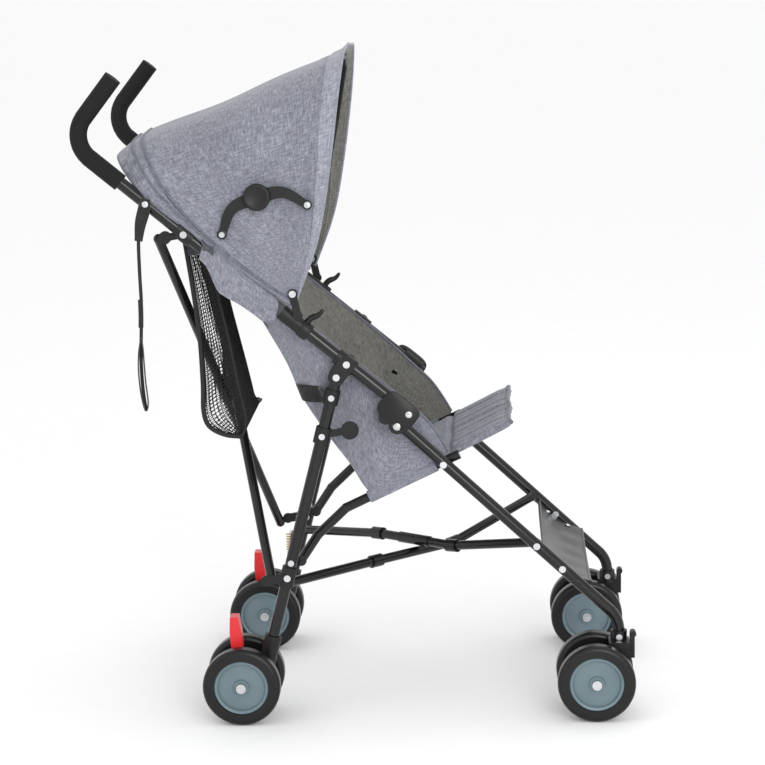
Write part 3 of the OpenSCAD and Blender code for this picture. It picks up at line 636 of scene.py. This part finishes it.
def stays():
    """Elbow stays: flat bars along curved paths, a turned hub at the elbow and plated rivets at the ends."""
    a, k, b = (-14, 712), (37, 765), (108, 753)
    out = (0, -1, 0)
    eye = [(-1.7, 0.05), (-1.7, 6.2), (-1.2, 7.0), (1.2, 7.0), (1.7, 6.2), (1.7, 0.05)]
    hub = [(-3, 0.05), (-3, 17.0), (-2, 19.2), (3.2, 19.2),
           (4.6, 18.2), (5.2, 15.0), (4.4, 14.0), (4.4, 0.05)]
    rear_y, front_y = -205.6, -209.7
    rear = smooth_path([(a[0], rear_y, a[1]), (1, rear_y, 748), (k[0], rear_y, k[1])], 24)
    front = smooth_path([(k[0], front_y, k[1]), (74, front_y, 771), (b[0], front_y, b[1])], 24)
    rear_wide = np.cross(unit(np.gradient(rear, axis=0)), [0, 1.0, 0])
    front_wide = np.cross(unit(np.gradient(front, axis=0)), [0, 1.0, 0])
    arms = {"rear": [ribbon(rear, rear_wide, np.linspace(11.0, 21.0, 24), 3.2),
                     turned(eye, (a[0], rear_y, a[1]), out),
                     turned(hub, (k[0], -213.0, k[1]), out, 56),
                     dome((a[0], -207.2, a[1]), out, 4.6, 2.6, 1)],
            "front": [ribbon(front, front_wide, np.linspace(21.0, 11.0, 24), 3.2),
                      turned(eye, (b[0], front_y, b[1]), out),
                      turned(eye, (k[0], front_y, k[1]), out),
                      dome((b[0], -211.3, b[1]), out, 5.2, 2.8, 1)]}
    for side in ("right", "left"):
        for end, parts in arms.items():
            node = "stay_" + end + "_" + side
            arm = parts if side == "right" else mirror(parts)
            obj = make("stay_" + end + "_arm_" + side, arm, [PLASTIC, STEEL])
            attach(obj, node)
            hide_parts(node)


stays()


# Seat

# Edges of the left side panel; y is turned over for the right one
LOW_EDGE = [(16, 150, 618), (37, 150, 578), (69, 150, 520), (92, 150, 466),
            (130, 152, 408), (160, 156, 368), (182, 163, 334), (204, 168, 322),
            (250, 167, 343), (285, 164, 360), (300, 160, 374)]
TOP_EDGE = [(28, 182, 640), (52, 182, 620), (84, 182, 594), (118, 181, 566),
            (152, 180, 539), (186, 177, 511), (218, 171, 483), (246, 164, 458),
            (270, 162, 435), (288, 160, 410), (302, 160, 386)]


def seat_panel(side):
    """Side panel: straight lines from the lower edge's curve to the top edge's, bulged and softly folded."""
    low, top = smooth_path(LOW_EDGE, 80), smooth_path(TOP_EDGE, 80)
    w = np.linspace(0, 1, 44)[None, :, None]
    p = low[:, None] * (1 - w) + top[:, None] * w
    s = np.linspace(0, 1, 80)[:, None]
    w = w[..., 0]
    loose = np.clip(1 - s / 0.72, 0, 1) ** 0.5
    p[..., 1] += 3.0 * np.sin(math.pi * w) * loose
    ends = np.clip(np.sin(math.pi * s), 0, 1)
    p[..., 1] += 1.8 * np.sin(20 * s + 4 * w) * np.sin(math.pi * w) * ends * (0.4 + loose)
    p[..., 1] *= side
    return p


def seat_sling():
    """Sling back, both side panels, their hem tunnels round the rails and the flaps over the push tubes."""
    parts = []
    for side in (-1, 1):
        p = seat_panel(side)
        # The inner faces take the lining, whose darker tone is painted shade for the seat's shaded inside
        parts.append(shell(p, 2.6, 0, 1, flip=side > 0))
        rail = even_path([(186, side * 160, 320.2), (240, side * 160, 345.9), (284, side * 160, 366.8)], 26)
        parts.append(tube(rail, 9.4, 20))
        parts.append(tube(p[:, -1], 2.2, 8, False, 2))
        flap = []
        for x, drop in ((-50, 17), (-38, 20), (-20, 36), (-8, 37), (10, 33), (30, 31), (44, 30), (56, 18)):
            arc = round_push(x, 11.6, np.linspace(-1.4, 1.75, 12), 0.2) * [1, side, 1]
            hang = np.array([[0.33], [0.66], [1.0]]) * [-0.3 * drop, -1.5 * side, -drop]
            flap.append(np.vstack([arc, arc[-1] + hang]))
        flap = np.array(flap)
        flap = np.stack([smooth_path(flap[:, i], 60) for i in range(flap.shape[1])], 1)
        flap = np.stack([smooth_path(flap[i], 40) for i in range(60)], 0)
        parts.append(shell(flap, 2.2, flip=side < 0))
    half = 150
    y = np.linspace(-half, half, 60)
    rear = smooth_path([(q[0], q[2]) for q in LOW_EDGE[:7]], 60)
    back = np.zeros((60, 60, 3))
    back[..., 0], back[..., 2] = rear[:, None, 0] + 5, rear[:, None, 1] + 2
    back[..., 1] = y[None, :]
    s = np.linspace(0, 1, 60)[:, None]
    back[..., 0] -= 3.0 * (1 - (y[None, :] / half) ** 2) * np.sin(math.pi * s)
    channel = np.minimum.reduce([np.abs(y - c) for c in range(-100, 101, 50)])
    swell = np.clip(channel / 14, 0, 1)[None, :] ** 0.6
    thick = 4.0 + 5.5 * swell * np.clip(np.sin(math.pi * s), 0, 1) ** 0.3
    parts.append(shell(back, thick, flip=True))
    tab = between([(38, -150.5, 592), (50, -152.5, 580), (60, -151.5, 566)],
                  [(30, -151.5, 585), (42, -154.0, 572), (53, -152.5, 558)])
    parts.append(shell(tab, 2.4, 3, 3))
    obj = make("seat_sling", parts, [MELANGE, SHADED_LINING, PIPING, TAB], 60)
    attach(obj, "frame_right")
    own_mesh(obj)
    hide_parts("seat_back")


def seat_pad():
    """Quilted seat base and front flap: a pad whose thickness drops at channels, a cross seam and edges."""
    line = even_path([(190, 333), (206, 334), (250, 352), (290, 371),
                      (306, 381), (340, 398), (384, 421), (391, 428)], 110)
    t = unit(np.gradient(line, axis=0))
    n = np.stack([-t[:, 1], t[:, 0]], 1)
    half, seam_x, tip_x = 146, 306, 392
    y = np.linspace(-half, half, 110)
    across = np.minimum.reduce([np.abs(y - c) for c in range(-108, 109, 36)])
    edge = np.clip((half - np.abs(y)) / 12, 0, 1) ** 0.5
    seam = np.clip(np.abs(line[:, 0] - seam_x) / 7, 0, 1) ** 0.6
    tip = np.clip((tip_x - line[:, 0]) / 16, 0, 1) ** 0.4
    on_flap = np.clip((line[:, 0] - 300) / 10, 0, 1)
    quilt = 1 - (1 - np.clip(across / 9, 0, 1) ** 0.6)[None, :] * on_flap[:, None]
    t_all = 2.4 + 8.6 * edge[None, :] * (seam * (0.35 + 0.65 * tip))[:, None] * (0.45 + 0.55 * quilt)
    wave = 1.6 * np.sin(0.045 * y)[None, :] * on_flap[:, None]
    grid = np.zeros((110, 110, 3))
    lift = t_all / 2 - 4.0 + wave
    grid[..., 0] = line[:, None, 0] + n[:, None, 0] * lift
    grid[..., 1] = y[None, :]
    grid[..., 2] = line[:, None, 1] + n[:, None, 1] * lift
    parts = [shell(grid, t_all), tube(grid[-1], 3.2, 10, False, 1)]
    obj = make("seat_pad", parts, [MELANGE, PIPING], 60)
    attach(obj, "frame_right")
    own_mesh(obj)
    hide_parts("seat_base")


seat_sling()
seat_pad()


# Bag

# Side view curves of the bag from its mouth down: rear edge at the ends, rear wall in the middle, front edge
BAG_REAR = [(-74, 694), (-65, 630), (-57, 560), (-54, 490), (-54, 446), (-46, 424), (-24, 412), (0, 409)]
BAG_MID = [(-70, 694), (-55, 640), (-37, 560), (-20, 490), (-10, 446), (-7, 430), (-3, 420), (0, 412)]
BAG_FRONT = [(-45, 694), (-34, 640), (-16, 560), (-3, 490), (6, 446), (7, 430), (5, 418), (1, 411)]


def bag():
    """Mesh bag: open nets over two ends, a rear wall ahead of the crossing braces and a slack front wall.

    Each wall goes from its middle curve to its end curve by a smooth step in y. The net's cells are
    drawn coarser than real ones.
    """
    rear, mid, front = (even_path(c, 58) for c in (BAG_REAR, BAG_MID, BAG_FRONT))
    parts = []
    half, bend_from = 149.0, 92
    bend_run = half - bend_from
    for side in (-1, 1):
        w = np.linspace(0, 1, 12)[None, :, None]
        lip = front if side < 0 else rear + [3.5, 0.0]
        xz = rear[:, None] * (1 - w) + lip[:, None] * w
        end = np.stack([xz[..., 0], np.full(xz.shape[:2], side * half), xz[..., 1]], -1)
        end[..., 1] += side * -4 * np.sin(math.pi * w[..., 0]) * np.linspace(0, 1, 58)[:, None]
        parts += net(end, 0.7)
        parts.append(tube(end[:, 0], 3.6, 8))
        parts.append(tube(end[:, -1], 2.2, 8))
        patch = between([(x, side * 150.2, z) for x, z in ((-72, 698), (-50, 700), (-22, 690))],
                        [(x, side * 150.6, z) for x, z in ((-71, 676), (-50, 676), (-30, 668))])
        parts.append(shell(patch, 2.6, 1, 1, flip=side > 0))
        cx, cz = on_push(-42)
        ring = round_push(-42, 12, np.linspace(0, 2 * math.pi, 33)[:-1]) * [1, side, 1]
        parts.append(ribbon(np.vstack([ring, ring[:1]]), [0.77, 0.0, -0.64], 16, 1.8, 1))
        tie = [(cx + 2, side * 184, cz - 2), (cx, side * 168, cz - 3), (-38, side * 150, 692)]
        parts.append(ribbon(even_path(tie, 12), [1.0, 0, 0], 16, 1.8, 1))
    y = np.linspace(-half, half, 58)
    k = ease((np.abs(y) - bend_from) / bend_run)[None, :, None]
    xz = mid[:, None] * (1 - k) + rear[:, None] * k
    wall = np.stack([xz[..., 0], np.broadcast_to(y, xz.shape[:2]), xz[..., 1]], -1)
    parts += net(wall, 0.66)
    parts.append(tube(wall[0], 4.0, 8))
    parts.append(tube(wall[-1], 3.0, 8))
    near = ease((-bend_from - y) / bend_run)[None, :, None]
    xz = (xz + [3.5, 0.0]) * (1 - near) + front[:, None] * near
    face = np.stack([xz[..., 0], np.broadcast_to(y, xz.shape[:2]), xz[..., 1]], -1)
    parts += net(face, 0.5)
    parts.append(tube(face[0], 2.6, 8))
    obj = make("bag_net", parts, [YARN, TAB], 60)
    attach(obj, "frame_right")
    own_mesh(obj)
    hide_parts("storage_bag")


bag()


# Straps, footrest and trim

def back_strap():
    """Webbing that runs from one rear leg round the back of the seat to the other."""
    path = [(122, -193, 474), (121, -180, 474), (119, -168, 474), (106, -163, 474), (94, -160, 475)]
    path = np.array(path + [(87, -152, 475), (84, -120, 475), (83.5, -60, 475), (83.5, 0, 475)], float)
    path = np.vstack([path, path[-2::-1] * [1, -1, 1]])
    p = even_path(path, 150)
    strap = ribbon(p, [0.35, 0.0, -0.94], 25.0, 1.8)
    obj = make("back_strap_webbing", [strap], [WEBBING])
    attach(obj, "frame_right")
    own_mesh(obj)
    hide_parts("back_strap")


def footrest():
    """Coated cloth slung between the front legs: the CAD's bent section, sagging across as a parabola."""
    line = even_path([(440, 240), (448, 228), (472, 206), (507, 192)], 40)
    half = 164
    y = np.linspace(-half, half, 70)
    p = np.zeros((40, 70, 3))
    p[..., 0] = line[:, None, 0]
    p[..., 1] = y[None, :]
    s = np.linspace(0, 1, 40)[:, None]
    droop = 7 * (1 - (y / half) ** 2)[None, :]
    ripple = 0.8 * np.sin(0.09 * y)[None, :] * np.sin(3 * s)
    p[..., 2] = line[:, None, 1] - droop + ripple
    parts = [shell(p, 2.6), tube(p[0], 2.6, 8), tube(p[-1], 2.6, 8)]
    for side in (0, -1):
        for k in (10, 28):
            parts.append(dome(p[k, side] + [0, 12 if side == 0 else -12, 1.4], (0.3, 0, 1), 4.2, 2.0, 1))
    obj = make("footrest_sling", parts, [VINYL, STEEL])
    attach(obj, "front_leg_right")
    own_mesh(obj)
    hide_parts("footrest")


def cover(centre, a, b, y0, y1):
    """A rounded cover: a superellipse of half sizes a and b along and across the tube, with a bevel."""
    w = np.linspace(0, 2 * math.pi, 64, endpoint=False)
    u = a * np.sign(np.cos(w)) * np.abs(np.cos(w)) ** 0.5
    v = b * np.sign(np.sin(w)) * np.abs(np.sin(w)) ** 0.5
    c, t = math.cos(SLOPE), math.sin(SLOPE)
    rings = [np.stack([centre[0] + k * (u * c + v * t), np.full(64, y), centre[1] + k * (v * c - u * t)], 1)
             for k, y in ((0.9, y0), (1.0, y0 - 0.6), (1.0, y1 + 1.6), (0.9, y1))]
    faces = [list(f) for f in quads(4, 64, False, True)] + [list(range(64)), list(range(192, 256))[::-1]]
    return orient(np.vstack(rings), faces, np.zeros(len(faces), int), np.zeros((256, 2)))


def trims():
    """Small fittings: tube bands and clips below the canopy, leg plate covers and the lock's coil spring."""
    along = np.array([math.cos(SLOPE), 0, -math.sin(SLOPE)])
    band_at = np.array([66, -Y_PUSH, on_push(66)[1]])
    clip_at = np.array([100, -Y_PUSH, on_push(100)[1]])
    band = turned([(-10, 9.2), (-10, 10.6), (10, 10.6), (10, 9.2)], band_at, along, 40, 1)
    clip_edge = [(-8, 9.2), (-8, 12.4), (-6, 13.2), (6, 13.2), (8, 12.4), (8, 9.2)]
    clip = turned(clip_edge, clip_at, along, 40)
    bend = clip_at + np.array([(2, -3, 10), (10, -4, 18), (20, -5, 22), (27, -5, 30)])
    prong = tube(smooth_path(bend, 16), [4.6] * 8 + [4.2, 3.8, 3.6, 3.4, 3.2, 3.0, 2.6, 1.6], 10)
    parts = [band, clip, prong, cover((232, 456), 29, 21, -204.4, -210.4)]
    parts += [dome((x, -210.3, z), (0, -1, 0), 5.2, 1.8, 2) for x, z in ((247, 450.9), (230, 434))]
    for k in range(3):
        rib = clip_at + [14 + 4 * k, -8, 20 + 3 * k] + np.array([(0, 0, 0), (0.5, 3, 1), (1, 7, 2)])
        parts.append(ribbon(rib, [0.7, 0, 0.7], 2.4, 2.0))
    for side in ("right", "left"):
        fittings = parts if side == "right" else mirror(parts)
        obj = make("canopy_clip_" + side, fittings, [PLASTIC, TAB, STEEL])
        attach(obj, "frame_" + side)
    turns, coil_r, coil_y, coil_rise = 7, 4.6, -182.0, 26
    q = np.linspace(0, 2 * math.pi * turns, 240)
    spring = np.stack([70 + coil_r * np.cos(q), coil_y + coil_r * np.sin(q), 246 + coil_rise * q / q[-1]], 1)
    rod = [(66, coil_y, 214), (69, coil_y, 246), (73, coil_y, 276)]
    parts = [tube(spring, 0.8, 6), tube(smooth_path(rod, 12), 2.6, 12, False, 1)]
    obj = make("lock_spring", parts, [BRASS, STEEL])
    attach(obj, "rear_leg_right")


back_strap()
footrest()
trims()


# Floor and light

def stage():
    """A wide pale floor, three soft lamps and a pale sky."""
    mesh = bpy.data.meshes.new("floor")
    half, level = 90, -0.0005
    corners = [(-half, -half, level), (half, -half, level), (half, half, level), (-half, half, level)]
    mesh.from_pydata(corners, [], [(0, 1, 2, 3)])
    # Matt and nearly white, so that it shows only a soft shadow
    mesh.materials.append(hard("pale studio floor", "#f8f8f8", "#fbfbfb", 40.0, (0.7, 0.8), 0.01))
    floor = bpy.data.objects.new("floor", mesh)
    bpy.context.scene.collection.objects.link(floor)
    for name, place, aim, size, power in (("key", (1.2, -3.6, 1.7), (0, 0, 0.5), 2.0, 62),
                                          ("fill", (-2.8, -2.2, 1.8), (0, 0, 0.4), 2.4, 8),
                                          ("top", (0.3, 0.6, 3.2), (0, 0, 0.4), 2.2, 5)):
        data = bpy.data.lights.new(name, "AREA")
        data.shape = "DISK"
        data.size = size
        data.energy = power
        lamp = bpy.data.objects.new(name, data)
        back = unit(np.array(place) - np.array(aim))
        across = unit(np.cross([0.02, 1.0, 0.05], back))
        m = Matrix(np.stack([across, np.cross(back, across), back], 1).tolist()).to_4x4()
        m.translation = place
        lamp.matrix_world = m
        bpy.context.scene.collection.objects.link(lamp)
    world = bpy.data.worlds.new("studio")
    world.use_nodes = True
    sky = world.node_tree.nodes["Background"]
    sky.inputs["Color"].default_value = (1.0, 1.0, 1.0, 1.0)
    sky.inputs["Strength"].default_value = 1.0
    bpy.context.scene.world = world
    bpy.context.scene.view_settings.view_transform = "Standard"


stage()
